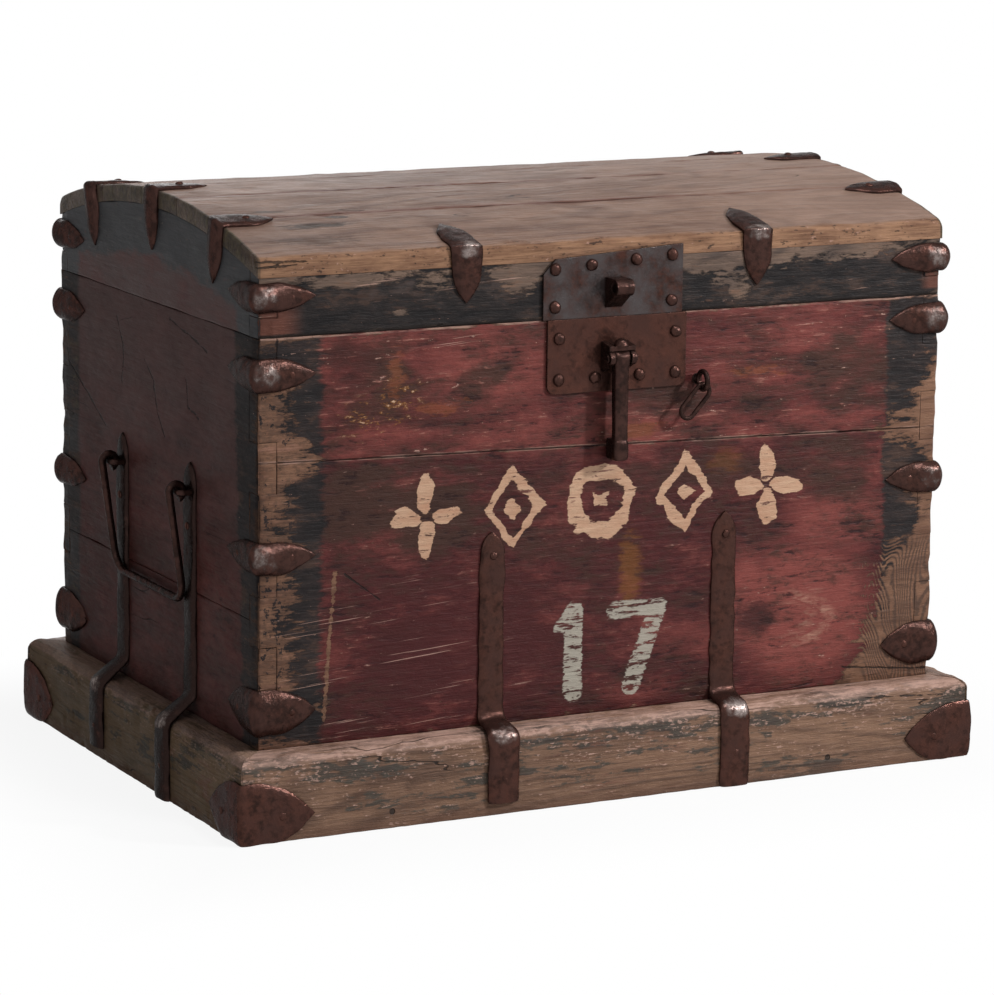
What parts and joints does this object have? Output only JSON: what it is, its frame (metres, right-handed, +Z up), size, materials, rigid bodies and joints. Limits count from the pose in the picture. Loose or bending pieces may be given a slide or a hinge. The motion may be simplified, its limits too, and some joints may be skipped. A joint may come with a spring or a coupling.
{
  "type": "iron-bound wooden chest",
  "caption": "Free-standing wooden travelling chest with an arched hinged lid, forged corner straps, a divided lock plate with a hanging hasp, and swinging side handles on a raised base frame.",
  "frame": {"origin": "at floor level, under the middle of the base frame", "axes": "+X along the front, to the right as seen from the front; the front with the lock faces -Y; +Z up"},
  "size_m": [0.9412, 0.6594, 0.6806],
  "materials": {
    "lacquered_wood": "worn red and black lacquer",
    "top_wood": "weathered, bare",
    "base_wood": "worn, traces of paint",
    "raw_wood": "unfinished",
    "iron": "forged, rusty brown"
  },
  "bodies": {
    "box": {"base_rail_front": "base_wood", "base_rail_back": "base_wood", "base_rail_left": "base_wood", "base_rail_right": "base_wood", "bottom_boards": "raw_wood", "front_board_upper": "lacquered_wood", "front_board_lower": "lacquered_wood", "back_board_upper": "lacquered_wood", "back_board_lower": "lacquered_wood", "left_board_upper": "lacquered_wood", "left_board_lower": "lacquered_wood", "right_board_upper": "lacquered_wood", "right_board_lower": "lacquered_wood", "base_corner_plates": "iron", "corner_straps_front_left": "iron", "corner_straps_front_right": "iron", "corner_straps_back_left": "iron", "corner_straps_back_right": "iron", "front_strap_left": "iron", "front_strap_right": "iron", "back_strap_left": "iron", "back_strap_right": "iron", "left_strap_front": "iron", "left_strap_back": "iron", "right_strap_front": "iron", "right_strap_back": "iron", "left_handle_staples": "iron", "right_handle_staples": "iron", "lock_plate_lower": "iron", "lock_nails_lower": "iron", "hasp_bracket": "iron", "hasp_pin": "iron", "ring_eye": "iron", "box_strap_nails": "iron", "hinge_leaf_box_left": "iron", "hinge_leaf_box_right": "iron", "hinge_pin_left": "iron", "hinge_pin_right": "iron"},
    "lid": {"lid_front_board": "lacquered_wood", "lid_back_board": "lacquered_wood", "lid_end_left": "lacquered_wood", "lid_end_right": "lacquered_wood", "lid_top_board_1": "top_wood", "lid_top_board_2": "top_wood", "lid_top_board_3": "top_wood", "lid_top_board_4": "top_wood", "lid_top_board_5": "top_wood", "lid_corner_straps": "iron", "lid_front_straps": "iron", "lid_end_straps": "iron", "lid_strap_nails": "iron", "lock_plate_upper": "iron", "lock_nails_upper": "iron", "lock_lug": "iron", "hinge_leaf_lid_left": "iron", "hinge_leaf_lid_right": "iron"},
    "hasp": {"hasp": "iron"},
    "left_handle": {"left_handle": "iron"},
    "right_handle": {"right_handle": "iron"},
    "ring_link": {"ring_link": "iron"}
  },
  "joints": [
    {"name": "lid_hinge", "type": "hinge", "parent": "box", "child": "lid", "pos_m": [0, 0.2965, 0.5462], "axis": [-1, 0, 0], "range_deg": [0, 100]},
    {"name": "hasp_swing", "type": "hinge", "parent": "box", "child": "hasp", "pos_m": [0, -0.308, 0.502], "axis": [-1, 0, 0], "range_deg": [0, 105]},
    {"name": "left_handle_swing", "type": "hinge", "parent": "box", "child": "left_handle", "pos_m": [-0.448, -0.006, 0.35], "axis": [0, 1, 0], "range_deg": [0, 165]},
    {"name": "right_handle_swing", "type": "hinge", "parent": "box", "child": "right_handle", "pos_m": [0.448, -0.006, 0.35], "axis": [0, -1, 0], "range_deg": [0, 165]},
    {"name": "ring_link_swing", "type": "hinge", "parent": "box", "child": "ring_link", "pos_m": [0.1075, -0.304, 0.4563], "axis": [0, -1, 0], "range_deg": [-45, 130]}
  ]
}
